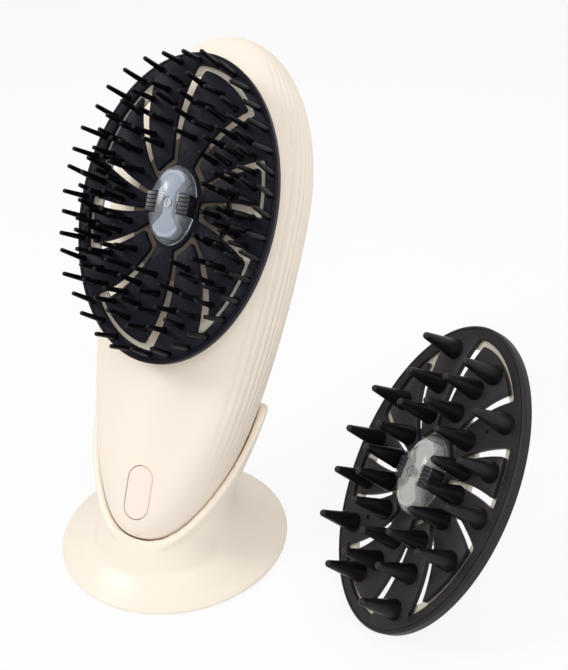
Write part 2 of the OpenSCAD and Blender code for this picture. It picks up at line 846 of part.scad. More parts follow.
// Holds the rim's petals and pushes on to the spigot of the massager
module carrier() {
    color(cream) difference() {
        union() {
            between(carrier_low, carrier_top) oval(0.46 * half_wide, 0.46 * half_height, 48);
            carrier_pad_places() drum(1.7, carrier_low, plate_low);
            drum(spigot_radius + collar_gap + 2, flange_top + 0.3, carrier_low + eps);
        }
        drum(spigot_radius + collar_gap, flange_top - 1, carrier_low);
        drum(bush_radius + shaft_play, carrier_low - 1, 0);
        drum(bush_flange + 0.3, carrier_low - 1, carrier_low + bush_recess);
        carrier_pad_places() drum(0.85, carrier_low - 1, 0);
        carrier_pad_places() drum(1.6, carrier_low - 1, carrier_low + 0.9);
    }
}
module carrier_screws() {
    color(steel) carrier_pad_places() {
        drum(1.45, carrier_low + 0.05, carrier_low + 0.88);
        drum(0.75, carrier_low + 0.8, plate_low + 1.3);
    }
}

bush_low = carrier_low + 0.15;
bush_top = lens_rise - 1.45;
socket_square = shaft_square + 0.3;
module drive_bush() {
    color(brass) difference() {
        union() {
            drum(bush_radius, bush_low, bush_top);
            drum(bush_flange, bush_low, carrier_low + bush_recess - 0.25);
        }
        translate([-socket_square / 2, -socket_square / 2, bush_low - 1])
            cube([socket_square, socket_square, shaft_top + 0.3 - bush_low + 1]);
        drum(1, -1.2, bush_top + 1);
    }
}

fin_inner = 3.9;
fin_high = 7.6;
notch_gap = 0.15;
module fin_places() { for (s = [0, 180]) rotate([0, 0, s]) children(); }

bow_tie = [[-0.35, 0.34], [-0.98, 0.72], [-0.5, 0.98], [0.5, 0.98], [0.98, 0.72], [0.35, 0.34],
           [0.35, -0.34], [0.98, -0.72], [0.5, -0.98], [-0.5, -0.98], [-0.98, -0.72], [-0.35, -0.34]];
bow_high = lens_height / 2 - lens_wall - 0.9;
bow_wide = 0.62 * (lens_width / 2 - lens_wall);
module reflector() {
    color([0.93, 0.93, 0.95]) difference() {
        between(0.02, 1.1) polygon([for (p = bow_tie) [p[0] * bow_wide, p[1] * bow_high]]);
        drum(bush_radius + 0.05, -1, 3);
    }
}
module fin_blocks(tint) {
    color(tint) fin_places() difference() {
        translate([fin_inner, -fin_high / 2, 0.02])
            cube([lens_width / 2 - fin_inner + 0.2, fin_high, lens_rise - 1]);
        for (y = [-1.3, 1.3]) translate([fin_inner - 1, y - 0.2, 1.4]) cube([8, 0.4, 5]);
    }
}
module lens_cap(tint) {
    color(tint) difference() {
        hull() {
            between(0.02, lens_rise - 1.6) oval(lens_width / 2, lens_height / 2, 48);
            between(lens_rise - 1.6, lens_rise - 0.7)
                oval(lens_width / 2 - 0.5, lens_height / 2 - 0.5, 48);
            between(lens_rise - 0.7, lens_rise) oval(lens_width / 2 - 2.4, lens_height / 2 - 2.6, 48);
        }
        between(-1, lens_rise - 1.4)
            oval(lens_width / 2 - lens_wall, lens_height / 2 - lens_wall, 48);
        fin_places() translate([fin_inner - notch_gap, -fin_high / 2 - notch_gap, -1])
            cube([10, fin_high + 2 * notch_gap, 10]);
        drum(1.15, 0, 10);
        drum(2, lens_rise - 0.6, 10);
    }
}
module cap_screw() {
    color(steel) difference() {
        union() {
            drum(1.85, lens_rise - 0.58, lens_rise + 0.25);
            drum(0.95, -0.9, lens_rise - 0.5);
        }
        for (a = [0, 90]) rotate([0, 0, a])
            translate([-1.1, -0.2, lens_rise - 0.1]) cube([2.2, 0.4, 1]);
    }
}

// ---- Fitted head with fine pins -----------------------------------------------------------

module fine_rim_plate() {
    place_massager() difference() {
        rim_plate(ink) {
            for (k = [1:2:11]) for (p = sector_pins(k)) pin(p);
            for (i = [0:band_pins - 1]) pin(band_pin(i));
        }
        for (k = [1:2:11]) mould_mark(sector_place(k, 0.617, 0.5));
    }
}
module fine_hub_plate() {
    place_massager() difference() {
        hub_plate(ink) for (k = [0:2:10]) for (p = sector_pins(k)) pin(p);
        for (k = [0:2:10]) for (s = [0.34, 0.617]) mould_mark(sector_place(k, s, 0.5));
    }
}
module fine_ledge_ring() { place_massager() ledge_ring(); }
module fine_carrier() { place_massager() carrier(); }
module fine_carrier_screws() { place_massager() carrier_screws(); }
module fine_drive_bush() { place_massager() drive_bush(); }
module fine_reflector() { place_massager() reflector(); }
module fine_fin_blocks() { place_massager() fin_blocks(ink); }
module fine_lens_cap() { place_massager() lens_cap(frost); }
module fine_cap_screw() { place_massager() cap_screw(); }

// ---- Spare head with cones ----------------------------------------------------------------

// A cone's foot ends at the slot beside it
module sector_cones(k) {
    intersection() {
        union() for (p = cone_places(k)) cone(p);
        between(-1, cone_length + 1) sector(k);
    }
}
module cone_rim_plate() {
    place_spare() difference() {
        rim_plate(charcoal) for (k = [1:2:11]) sector_cones(k);
        for (k = [1:2:11]) translate(sector_place(k, 0.64, k % 6 == 5 ? 0.85 : 0.5))
            drum(0.8, -0.8, 1);
    }
}
module cone_hub_plate() {
    place_spare() hub_plate(charcoal) for (k = [0:2:10]) sector_cones(k);
}
module cone_ledge_ring() { place_spare() ledge_ring(); }
module cone_carrier() { place_spare() carrier(); }
module cone_carrier_screws() { place_spare() carrier_screws(); }
module cone_drive_bush() { place_spare() drive_bush(); }
module cone_reflector() { place_spare() reflector(); }
module cone_fin_blocks() { place_spare() fin_blocks(charcoal); }
module cone_lens_cap() { place_spare() lens_cap(warm_frost); }
module cone_cap_screw() { place_spare() cap_screw(); }

stand_shell();
base_cover();
base_weight();
foot_pad();
cover_screws();
cup_bumper();
rear_shell();
front_shell();
head_mount();
mount_screws();
body_screws();
motor_can();
motor_coil();
motor_bearings();
rotor_magnet();
drive_shaft();
shaft_seal();
battery_cell();
control_board();
board_screws();
button_switch();
power_button();
charge_board();
charge_port();
fine_rim_plate();
fine_ledge_ring();
fine_carrier();
fine_carrier_screws();
fine_hub_plate();
fine_drive_bush();
fine_reflector();
fine_fin_blocks();
fine_lens_cap();
fine_cap_screw();
cone_rim_plate();
cone_ledge_ring();
cone_carrier();
cone_carrier_screws();
cone_hub_plate();
cone_drive_bush();
cone_reflector();
cone_fin_blocks();
cone_lens_cap();
cone_cap_screw();
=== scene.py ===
import math

import bmesh
import bpy
import numpy as np
from mathutils import Matrix, Vector


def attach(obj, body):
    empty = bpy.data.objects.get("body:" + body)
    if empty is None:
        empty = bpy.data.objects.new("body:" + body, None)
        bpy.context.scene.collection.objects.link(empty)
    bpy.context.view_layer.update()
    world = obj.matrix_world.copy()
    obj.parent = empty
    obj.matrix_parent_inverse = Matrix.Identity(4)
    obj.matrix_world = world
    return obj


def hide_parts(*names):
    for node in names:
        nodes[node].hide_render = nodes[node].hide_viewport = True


# Cordless scalp massager in its stand, with a second brush head beside it.
# Shapes are worked out flat and in millimetres, then set into the frame in metres.

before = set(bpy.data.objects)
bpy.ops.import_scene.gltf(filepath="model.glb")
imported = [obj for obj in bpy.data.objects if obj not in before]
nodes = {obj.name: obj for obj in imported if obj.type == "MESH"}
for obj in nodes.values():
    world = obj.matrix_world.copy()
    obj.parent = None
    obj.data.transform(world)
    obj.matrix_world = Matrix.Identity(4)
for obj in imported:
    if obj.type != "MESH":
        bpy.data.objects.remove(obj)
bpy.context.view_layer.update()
print("frame loaded:", len(nodes), "nodes")

scene = bpy.context.scene


def linear(colour):
    out = []
    for c in colour:
        c = c / 255
        out.append(c / 12.92 if c <= 0.04045 else ((c + 0.055) / 1.055) ** 2.4)
    return (*out, 1.0)


def newPiece(name, points, faces):
    mesh = bpy.data.meshes.new(name)
    mesh.from_pydata([tuple(p) for p in points], [], faces)
    mesh.update()
    piece = bpy.data.objects.new(name, mesh)
    scene.collection.objects.link(piece)
    return piece


def tidyMesh(piece, merge=0.0005):
    work = bmesh.new()
    work.from_mesh(piece.data)
    bmesh.ops.remove_doubles(work, verts=work.verts, dist=merge)
    bmesh.ops.dissolve_degenerate(work, edges=work.edges, dist=merge / 2)
    bmesh.ops.recalc_face_normals(work, faces=work.faces)
    work.to_mesh(piece.data)
    work.free()
    return piece


def bake(piece):
    # turns the modifiers into plain mesh
    depsgraph = bpy.context.evaluated_depsgraph_get()
    depsgraph.update()
    mesh = bpy.data.meshes.new_from_object(piece.evaluated_get(depsgraph))
    piece.modifiers.clear()
    old = piece.data
    piece.data = mesh
    bpy.data.meshes.remove(old)
    return piece


def drop(piece):
    mesh = piece.data
    bpy.data.objects.remove(piece)
    bpy.data.meshes.remove(mesh)


def combine(piece, others, operation="DIFFERENCE"):
    for other in others:
        step = piece.modifiers.new("combine", "BOOLEAN")
        step.operation = operation
        step.solver = "MANIFOLD"
        step.object = other
        bake(piece)
        drop(other)
    return piece


def ringSkin(name, rings, low=None, high=None):
    # closed skin through equal rings, with a point at each open end
    rings = np.asarray(rings, float)
    m, n = rings.shape[:2]
    points = rings.reshape(-1, 3).tolist()
    faces = []
    for j in range(m - 1):
        for i in range(n):
            k = (i + 1) % n
            faces.append((j * n + i, (j + 1) * n + i, (j + 1) * n + k, j * n + k))
    for end, row in ((low, 0), (high, m - 1)):
        if end is None:
            continue
        points.append(tuple(end))
        tip = len(points) - 1
        for i in range(n):
            faces.append((tip, row * n + i, row * n + (i + 1) % n))
    return tidyMesh(newPiece(name, points, faces))


def latheSkin(name, profile, count=128):
    # profile of (radius, height) from the axis back to the axis
    turn = np.linspace(0, 2 * np.pi, count, endpoint=False)
    rings = [[(r * math.cos(a), r * math.sin(a), z) for a in turn] for r, z in profile[1:-1]]
    return ringSkin(name, rings, (0, 0, profile[0][1]), (0, 0, profile[-1][1]))


def prism(name, outline, low, high):
    rings = [[(x, y, z) for x, y in outline] for z in (low, high)]
    n = len(outline)
    points = rings[0] + rings[1]
    faces = [tuple(range(n))[::-1], tuple(range(n, 2 * n))]
    faces += [(i, (i + 1) % n, n + (i + 1) % n, n + i) for i in range(n)]
    return tidyMesh(newPiece(name, points, faces))


def drum(name, radius, low, high, at=(0, 0), count=48):
    turn = np.linspace(0, 2 * np.pi, count, endpoint=False)
    return prism(name, [(at[0] + radius * math.cos(a), at[1] + radius * math.sin(a)) for a in turn],
                 low, high)


def capsule(width, length, count=24):
    r, straight = width / 2, (length - width) / 2
    upper = [(r * math.cos(a), straight + r * math.sin(a)) for a in np.linspace(0, np.pi, count)]
    lower = [(-x, -y) for x, y in upper]
    return upper + lower


def softNormals(piece, angle=32):
    piece.data.polygons.foreach_set("use_smooth", [True] * len(piece.data.polygons))
    piece.data.set_sharp_from_angle(angle=math.radians(angle))
    return piece


def settle(piece, place, body, finish, slotName, *replaced, angle=32):
    # from flat millimetres to its place in metres, with its finish and its body
    piece.data.transform(Matrix.Scale(0.001, 4) @ place)
    piece.data.update()
    softNormals(piece, angle)
    piece.data.materials.clear()
    piece.data.materials.append(finish)
    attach(piece, body)
    if replaced:
        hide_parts(*replaced)
    return piece


def smoothStep(t):
    t = np.clip(t, 0, 1)
    return t * t * (3 - 2 * t)


def signedPow(v, p):
    return np.sign(v) * np.abs(v) ** p


def makeFinish(name, colour, roughness, variation=0.03, patchScale=35, grainScale=1400,
               grainHeight=0.02, roughSpread=0.05, **sockets):
    finish = bpy.data.materials.new(name)
    finish.use_nodes = True
    tree = finish.node_tree
    shader = tree.nodes["Principled BSDF"]
    coords = tree.nodes.new("ShaderNodeTexCoord")
    patches = tree.nodes.new("ShaderNodeTexNoise")
    patches.inputs["Scale"].default_value = patchScale
    patches.inputs["Detail"].default_value = 4
    tree.links.new(coords.outputs["Object"], patches.inputs["Vector"])
    tint = tree.nodes.new("ShaderNodeMix")
    tint.data_type = "RGBA"
    base = linear(colour)
    tint.inputs["A"].default_value = [c * (1 - variation) for c in base[:3]] + [1]
    tint.inputs["B"].default_value = [min(1, c * (1 + variation)) for c in base[:3]] + [1]
    tree.links.new(patches.outputs["Fac"], tint.inputs["Factor"])
    tree.links.new(tint.outputs["Result"], shader.inputs["Base Color"])
    gloss = tree.nodes.new("ShaderNodeMapRange")
    gloss.inputs["To Min"].default_value = roughness - roughSpread
    gloss.inputs["To Max"].default_value = roughness + roughSpread
    tree.links.new(patches.outputs["Fac"], gloss.inputs["Value"])
    tree.links.new(gloss.outputs["Result"], shader.inputs["Roughness"])
    grain = tree.nodes.new("ShaderNodeTexNoise")
    grain.inputs["Scale"].default_value = grainScale
    grain.inputs["Detail"].default_value = 3
    tree.links.new(coords.outputs["Object"], grain.inputs["Vector"])
    relief = tree.nodes.new("ShaderNodeBump")
    relief.inputs["Strength"].default_value = 0.4
    relief.inputs["Distance"].default_value = grainHeight * 0.001
    tree.links.new(grain.outputs["Fac"], relief.inputs["Height"])
    tree.links.new(relief.outputs["Normal"], shader.inputs["Normal"])
    for socket, value in sockets.items():
        shader.inputs[socket.replace("_", " ")].default_value = value
    return finish


creamShell = makeFinish("creamShell", (245, 233, 218), 0.4, variation=0.012)
creamStand = makeFinish("creamStand", (247, 235, 219), 0.36, variation=0.012)
creamInner = makeFinish("creamInner", (228, 219, 203), 0.5, variation=0.02)
# painted shade: a darker copy of the inner cream for the fine head's carrier, standing in for the shadow
# it lies in under the slotted plates
paintedShadeInner = makeFinish("paintedShadeInner", (132, 120, 106), 0.6, variation=0.04)
buttonPink = makeFinish("buttonPink", (249, 229, 218), 0.44, variation=0.012)
blueBlack = makeFinish("blueBlack", (19, 18, 29), 0.42, variation=0.2, grainHeight=0.04,
                       Specular_IOR_Level=0.1)
pinBlack = makeFinish("pinBlack", (9, 9, 14), 0.36, variation=0.1, grainHeight=0.015,
                      Specular_IOR_Level=0.16)
charcoalPlate = makeFinish("charcoalPlate", (38, 34, 38), 0.42, variation=0.14, grainHeight=0.04,
                           Specular_IOR_Level=0.2)
coneBlack = makeFinish("coneBlack", (13, 12, 15), 0.36, variation=0.12, grainHeight=0.025,
                       Specular_IOR_Level=0.3)
slateFins = makeFinish("slateFins", (24, 25, 32), 0.32, variation=0.1)
frostedLens = makeFinish("frostedLens", (214, 219, 228), 0.13, variation=0.02, roughSpread=0.02,
                         Transmission_Weight=0.85, IOR=1.4)
warmLens = makeFinish("warmLens", (232, 230, 226), 0.14, variation=0.02, roughSpread=0.02,
                      Transmission_Weight=0.8, IOR=1.4)
whiteCore = makeFinish("whiteCore", (240, 242, 247), 0.3, variation=0.01)
screwSteel = makeFinish("screwSteel", (150, 152, 156), 0.42, variation=0.06, Metallic=0.8)
softBlack = makeFinish("softBlack", (44, 43, 43), 0.7, variation=0.1, grainHeight=0.05)
blackPlastic = makeFinish("blackPlastic", (40, 40, 43), 0.5, variation=0.08)
darkSteel = makeFinish("darkSteel", (176, 178, 181), 0.36, variation=0.06, Metallic=1.0)
brightSteel = makeFinish("brightSteel", (222, 223, 226), 0.24, variation=0.04, Metallic=1.0)
brassMetal = makeFinish("brassMetal", (226, 204, 150), 0.34, variation=0.05, Metallic=1.0)
windingCopper = makeFinish("windingCopper", (206, 146, 92), 0.36, variation=0.1, Metallic=0.8)
cellSleeve = makeFinish("cellSleeve", (124, 165, 194), 0.4)
circuitGreen = makeFinish("circuitGreen", (68, 143, 111), 0.42)

nodeFinishes = {
    "base_cover": creamInner, "base_weight": darkSteel, "foot_pad": softBlack,
    "cover_screws": brightSteel, "cup_bumper": softBlack, "rear_shell": creamShell,
    "front_shell": creamShell, "head_mount": blackPlastic, "mount_screws": brightSteel,
    "body_screws": brightSteel, "motor_can": darkSteel, "motor_coil": windingCopper,
    "motor_bearings": brassMetal, "rotor_magnet": darkSteel, "drive_shaft": brightSteel,
    "shaft_seal": softBlack, "battery_cell": cellSleeve, "control_board": circuitGreen,
    "board_screws": brightSteel, "button_switch": blackPlastic, "power_button": buttonPink,
    "charge_board": circuitGreen, "charge_port": brightSteel, "stand_shell": creamStand,
}
headFinishes = {
    # the fine carrier takes the painted shade, the spare head's carrier the plain inner cream
    "ledge_ring": (creamInner, creamInner), "carrier": (paintedShadeInner, creamInner),
    "carrier_screws": (brightSteel, brightSteel), "drive_bush": (brassMetal, brassMetal),
    "reflector": (whiteCore, whiteCore), "fin_blocks": (slateFins, charcoalPlate),
    "lens_cap": (frostedLens, warmLens), "cap_screw": (screwSteel, screwSteel),
    "rim_plate": (blueBlack, charcoalPlate), "hub_plate": (blueBlack, charcoalPlate),
}
for part, (fine, cone) in headFinishes.items():
    nodeFinishes["fine_" + part] = fine
    nodeFinishes["cone_" + part] = cone
for nodeName, finish in nodeFinishes.items():
    mesh = nodes[nodeName].data
    mesh.materials.clear()
    mesh.materials.append(finish)
print("finishes made:", len(bpy.data.materials))


standing = {"lean": 34.6, "tipForward": 18.8, "tipHeight": 12.8, "tipDrop": 123, "bodyMid": 29.75}
spare = {"right": 99.2, "back": 6.2, "turn": -45.4, "lean": 36.6, "spin": 16.2}


def turned(axis, degrees):
    return Matrix.Rotation(math.radians(degrees), 4, axis)


leanBack = (Matrix.Translation((0, -standing["tipForward"], standing["tipHeight"]))
            @ turned("X", 90 - standing["lean"]))
massagerPlace = leanBack @ Matrix.Translation((0, standing["tipDrop"], standing["bodyMid"]))

head = {"high": 57.1, "wide": 38.2, "thick": 2, "skirt": 4, "skirtWall": 1.5, "band": 4.6,
        "outerGap": 1.9, "innerGap": 2.4, "slotWidth": 0.7, "slotFlare": 0.07}
spareUp = head["high"] * math.cos(math.radians(spare["lean"])) * math.cos(math.radians(spare["spin"]))
spareSide = head["wide"] * math.cos(math.radians(spare["lean"])) * math.sin(math.radians(spare["spin"]))
spareHeight = (math.hypot(spareUp, spareSide)
               + head["skirt"] * math.sin(math.radians(spare["lean"])) + 0.05)
sparePlace = (Matrix.Translation((spare["right"], spare["back"], spareHeight))
              @ turned("Z", spare["turn"]) @ turned("X", 90 - spare["lean"]) @ turned("Z", spare["spin"]))


bodyShape = {
    "upperReach": 65, "lowerReach": 131, "widestRise": 8, "width": 81.8, "depth": 35.5,
    "thumbRise": 2, "wall": 2.2, "seam": -21, "power": 2.05,
    "fluteCount": 13, "fluteHeight": 0.55, "fluteTop": 0.68, "fluteBottom": -0.62,
}
halfDepth = bodyShape["depth"] / 2
bodyMid = standing["bodyMid"]


def along(y, grow):
    d = y - bodyShape["widestRise"]
    return np.minimum(1, np.where(d > 0, d / (bodyShape["upperReach"] + grow),
                                  -d / (bodyShape["lowerReach"] + grow)))


def halfWidth(y, grow):
    u = along(y, grow)
    share = np.where(y > bodyShape["widestRise"], np.sqrt(1 - u * u), (1 - u ** 1.65) ** (1 / 2.5))
    return (bodyShape["width"] / 2 + grow) * share


def thumbShare(y):
    return smoothStep((-58 - y) / 40)


def depthAt(y, grow, front):
    u = along(y, grow)
    rise = bodyShape["thumbRise"] * thumbShare(y) if front else 0
    low = np.sqrt(1 - u ** (36 if front else 6))
    return (halfDepth + rise + grow) * np.where(y > bodyShape["widestRise"],
                                                (1 - u ** 2.6) ** (1 / 2.6), low)


def bodyRing(y, grow, turns, push=None):
    # turns run once round from the middle of the front, down the right flank first
    power = 2 / bodyShape["power"]
    side, height = np.cos(turns), np.sin(turns)
    w = halfWidth(y, grow)
    d = np.where(height > 0, depthAt(y, grow, True), depthAt(y, grow, False))
    x = signedPow(side, power) * (w + (0 if push is None else push))
    return np.stack([x, np.full_like(x, y), -bodyMid + d * signedPow(height, power)], 1)


def depthShare(x, y):
    power = bodyShape["power"]
    return (1 - np.minimum(1, abs(x) / halfWidth(y, 0)) ** power) ** (1 / power)


def frontAt(x, y):
    return -bodyMid + depthAt(y, 0, True) * depthShare(x, y)


def backAt(x, y):
    return -bodyMid - depthAt(y, 0, False) * depthShare(x, y)


def bodyLevels(grow, up, down):
    low = 1 - (1 - np.linspace(0, 1, down + 1)[:-1]) ** 2.6
    low = np.append(low, 1 - 2e-6)
    high = np.sin(np.linspace(0, math.pi / 2, up + 1))[1:-1]
    high = np.append(high, [0.9996, 0.99998])
    return np.concatenate([bodyShape["widestRise"] - (bodyShape["lowerReach"] + grow) * low[::-1],
                           bodyShape["widestRise"] + (bodyShape["upperReach"] + grow) * high])


def bodySkin(name, grow, up, down, turns, push=None):
    levels = bodyLevels(grow, up, down)
    rings = [bodyRing(y, grow, turns, None if push is None else push(y)) for y in levels]
    return ringSkin(name, rings,
                    (0, bodyShape["widestRise"] - bodyShape["lowerReach"] - grow, -bodyMid),
                    (0, bodyShape["widestRise"] + bodyShape["upperReach"] + grow, -bodyMid))


fluteFrom = math.asin(signedPow(bodyShape["fluteTop"], bodyShape["power"] / 2))
fluteTo = math.asin(signedPow(bodyShape["fluteBottom"], bodyShape["power"] / 2))
fluteSteps = bodyShape["fluteCount"] * 8
fluteLevels = np.linspace(bodyShape["fluteTop"], bodyShape["fluteBottom"], fluteSteps + 1)
fluteTurns = np.arcsin(signedPow(fluteLevels, bodyShape["power"] / 2))
rightTurns = np.concatenate([np.linspace(math.pi / 2, fluteFrom, 26)[:-1], fluteTurns,
                             np.linspace(fluteTo, -math.pi / 2, 30)[1:]])
bodyTurns = np.concatenate([rightTurns, (math.pi - rightTurns[1:-1])[::-1]])
fluteWave = np.zeros(len(rightTurns))
fluteWave[25:25 + fluteSteps + 1] = 0.5 - 0.5 * np.cos(
    np.linspace(0, 2 * math.pi * bodyShape["fluteCount"], fluteSteps + 1))
fluteWave = np.concatenate([fluteWave, fluteWave[1:-1][::-1]])


def flutePush(y):
    # the flutes fade out towards the handle and the top
    top = bodyShape["widestRise"] + bodyShape["upperReach"]
    fade = np.clip((y + 96) / 60, 0, 1) * np.clip((top - 8 - y) / 12, 0, 1)
    return -bodyShape["fluteHeight"] * fade * fluteWave


plainTurns = np.linspace(math.pi / 2, math.pi / 2 - 2 * math.pi, 120, endpoint=False)
button = {"drop": 104.2, "width": 9.7, "length": 19.6, "gap": 0.25, "foot": -16, "edge": 0.5}
posts = {"places": [(22, 38), (-22, 38), (15, -92), (-15, -92)], "radius": 3.2, "well": 2.6,
         "bore": 1.3, "seat": 2.4}
openings = {"port": ((-4.7, -129, -bodyMid - 1.85), (4.7, -116, -bodyMid + 1.85)),
            "mount": 17.2, "mountFloor": -13.4, "shaft": 5.6}

outside = bodySkin("bodyOutside", 0, 60, 110, bodyTurns, flutePush)
inside = bodySkin("bodyInside", -bodyShape["wall"], 24, 50, plainTurns)
combine(outside, [inside])


def sideBox(name, low, high):
    (x0, y0, z0), (x1, y1, z1) = low, high
    return prism(name, [(x0, y0), (x1, y0), (x1, y1), (x0, y1)], z0, z1)


rear = outside
front = bpy.data.objects.new("frontShell", outside.data.copy())
scene.collection.objects.link(front)
rear.name = "rearShell"
seam = bodyShape["seam"]
combine(rear, [sideBox("cutFront", (-100, -200, seam - 0.06), (100, 200, 100))])
combine(front, [sideBox("cutRear", (-100, -200, -200), (100, 200, seam + 0.06))])


def backUnder(p, r):
    return max(float(backAt(p[0] + r * math.cos(a), p[1] + r * math.sin(a)))
               for a in np.radians(range(0, 360, 45)))


for i, p in enumerate(posts["places"]):
    foot = backUnder(p, posts["radius"]) + 0.4
    combine(rear, [drum(f"post{i}", posts["radius"], foot, seam - 0.3, p)], "UNION")
    combine(rear, [drum(f"well{i}", posts["well"], -60, foot + posts["seat"], p),
                   drum(f"bore{i}", posts["bore"], foot, 0, p)])
combine(rear, [sideBox("portHole", *openings["port"])])
buttonHole = [(x, y - button["drop"]) for x, y in
           capsule(button["width"] + 2 * button["gap"], button["length"] + 2 * button["gap"])]
combine(front, [prism("buttonHole", buttonHole, -20, 0),
                drum("mountWell", openings["mount"], openings["mountFloor"], 0, count=96),
                drum("shaftHole", openings["shaft"], -20, 0)])
settle(rear, massagerPlace, "massager", creamShell, "cream_shell", "rear_shell")
settle(front, massagerPlace, "massager", creamShell, "cream_shell", "front_shell")
print("body shells:", len(rear.data.polygons), len(front.data.polygons))


def buttonSkin():
    r, straight = button["width"] / 2, (button["length"] - button["width"]) / 2
    turns = np.linspace(0, 2 * math.pi, 72, endpoint=False)
    middle = np.where(np.sin(turns) >= 0, straight, -straight)
    rings = []
    shares = [0.02, 0.2, 0.4, 0.6, 0.75, 0.86, 0.92, 0.96, 0.985, 1]
    for share in shares:
        x = r * share * np.cos(turns)
        y = middle + r * share * np.sin(turns)
        edge = max(0, (share - 0.9) / 0.1)
        drop = button["edge"] * (1 - math.sqrt(1 - edge * edge))
        z = frontAt(x, y - button["drop"]) + 0.06 - drop
        rings.append(np.stack([x, y - button["drop"], z], 1))
    low = rings[-1].copy()
    low[:, 2] = button["foot"]
    rings.append(low)
    points = np.concatenate(rings)
    n = len(turns)
    faces = [(j * n + i, j * n + (i + 1) % n, (j + 1) * n + (i + 1) % n, (j + 1) * n + i)
             for j in range(len(rings) - 1) for i in range(n)]
    faces.append(tuple(range(n)))
    faces.append(tuple(range((len(rings) - 1) * n, len(rings) * n)))
    return tidyMesh(newPiece("powerButton", points, faces))


settle(buttonSkin(), massagerPlace, "button", buttonPink, "button", "power_button")
print("button made")


stand = {
    "radius": 45, "rim": 1.4, "flareHeight": 21, "waist": 26, "wall": 2.4, "gap": 0.8, "snug": 0.45,
    "cradleWall": 3.2, "reach": 58, "edgeLow": -18, "edgeHigh": -32.5, "edgePower": 1.15,
    "armRound": 7, "voxel": 0.7, "apron": ((7, 10, 14, 18, 22), (34.6, 33, 31.4, 29.8, 28.2)),
}
flareSteps = np.array([[0, 0], [0.26, 0.125], [0.5, 0.28], [0.7, 0.45], [0.85, 0.64],
                       [0.95, 0.84], [1, 1]])


def flareRadius(share):
    # radius at a share of the flare's height, on a smooth curve through the steps
    fine = np.linspace(0, 1, 7)
    dense = np.linspace(0, 1, 121)
    r = np.interp(dense, fine, flareSteps[:, 0])
    h = np.interp(dense, fine, flareSteps[:, 1])
    for _ in range(60):
        r[1:-1] = (r[:-2] + 2 * r[1:-1] + r[2:]) / 4
        h[1:-1] = (h[:-2] + 2 * h[1:-1] + h[2:]) / 4
    return stand["radius"] - (stand["radius"] - stand["waist"]) * np.interp(share, h, r)


def flareProfile(inset, low, top):
    rows = [(0, low)]
    if inset == 0:
        rows += [(stand["radius"] - 0.7, low), (stand["radius"] - 0.15, low + 0.2),
                 (stand["radius"], low + 0.6), (stand["radius"], stand["rim"] - 0.2)]
    for share in np.linspace(0, top, 40):
        z = stand["rim"] + (stand["flareHeight"] - stand["rim"]) * share - inset * 0.9
        if z > low:
            if len(rows) == 1:
                rows.append((float(flareRadius(share)) - inset, low))
            rows.append((float(flareRadius(share)) - inset, z))
    rows.append((0, rows[-1][1]))
    return rows


neckTurns = np.linspace(math.pi / 2, math.pi / 2 - 2 * math.pi, 144, endpoint=False)
neckLow = stand["rim"] + (stand["flareHeight"] - stand["rim"]) * 0.64 - 0.3
neckHigh = stand["flareHeight"] + 3
neckFrom, neckTo = 12 - standing["tipDrop"], 34 - standing["tipDrop"]


def stood(points):
    return np.array([massagerPlace @ Vector(p) for p in points])


def neckRing(t):
    z = neckLow + (neckHigh - neckLow) * t
    share = min(1, (z - stand["rim"]) / (stand["flareHeight"] - stand["rim"]))
    r = float(flareRadius(share)) - 0.04
    skin = stood(bodyRing(neckFrom + (neckTo - neckFrom) * t, stand["gap"] + stand["cradleWall"] - 0.04,
                          neckTurns))
    a = np.linspace(math.pi / 2, math.pi / 2 - 2 * math.pi, len(skin), endpoint=False)
    ring = np.stack([r * np.cos(a), -r * np.sin(a), np.full(len(a), z)], 1)
    s = float(smoothStep(t))
    return ring * (1 - s) + skin * s


def apronRing(z):
    # fills the flare out to the lip at the front
    share = min(1, (z - stand["rim"]) / (stand["flareHeight"] - stand["rim"]))
    low = float(flareRadius(share)) - 1.5
    a = np.linspace(0, 2 * math.pi, 144, endpoint=False)
    front = smoothStep((-np.sin(a) - 0.1) / 0.9)
    r = low + (np.interp(z, *stand["apron"]) - low) * front
    return np.stack([r * np.cos(a), r * np.sin(a), np.full(len(a), z)], 1)


armTop = stand["reach"] - standing["tipDrop"]
lipY = 2 - standing["tipDrop"]


def cradleOpening(name):
    rise = armTop - stand["armRound"] - lipY
    edge = [(lipY + rise * t,
             stand["edgeHigh"] + (stand["edgeLow"] - stand["edgeHigh"]) * (1 - t) ** stand["edgePower"])
            for t in np.linspace(0, 1, 30)]
    corner = [(armTop - stand["armRound"] * (1 - math.sin(a)),
               stand["edgeHigh"] - stand["armRound"] * (1 - math.cos(a)))
              for a in np.linspace(0, math.pi / 2, 12)]
    outline = ([(lipY - 40, 40), (lipY - 40, stand["edgeLow"])] + edge + corner[1:]
               + [(armTop, -90), (165, -90), (165, 40)])
    piece = prism(name, outline, -85, 85)
    piece.data.transform(Matrix(((0, 0, 1, 0), (1, 0, 0, 0), (0, 1, 0, 0), (0, 0, 0, 1))))
    tidyMesh(piece)
    return piece


def placed(piece, place):
    piece.data.transform(place)
    piece.data.update()
    return piece


standBody = latheSkin("standBody", flareProfile(0, 0.06, 0.64), 180)
apron = ringSkin("apron", [apronRing(z) for z in np.linspace(7.2, 22, 12)], (0, 0, 7.2), (0, 0, 22))
combine(apron, [placed(cradleOpening("apronCut"), massagerPlace)])
neck = ringSkin("neck", [neckRing(t) for t in np.linspace(0, 1, 25)], (0, 0, neckLow),
                massagerPlace @ Vector((0, neckTo, -bodyMid)))
combine(neck, [placed(cradleOpening("neckCut"), massagerPlace)])
cradle = bodySkin("cradle", stand["gap"] + stand["cradleWall"], 10, 90, neckTurns)
combine(cradle, [cradleOpening("armCut")])
placed(cradle, massagerPlace)
combine(cradle, [sideBox("underCradle", (-90, -90, -60), (90, 90, 7.1))])
combine(standBody, [apron], "UNION")
hollow = latheSkin("hollow", flareProfile(stand["wall"], 2.7, 0.9), 96)
combine(standBody, [hollow, drum("coverWell", 39.6, -1, 2.9, count=96)])
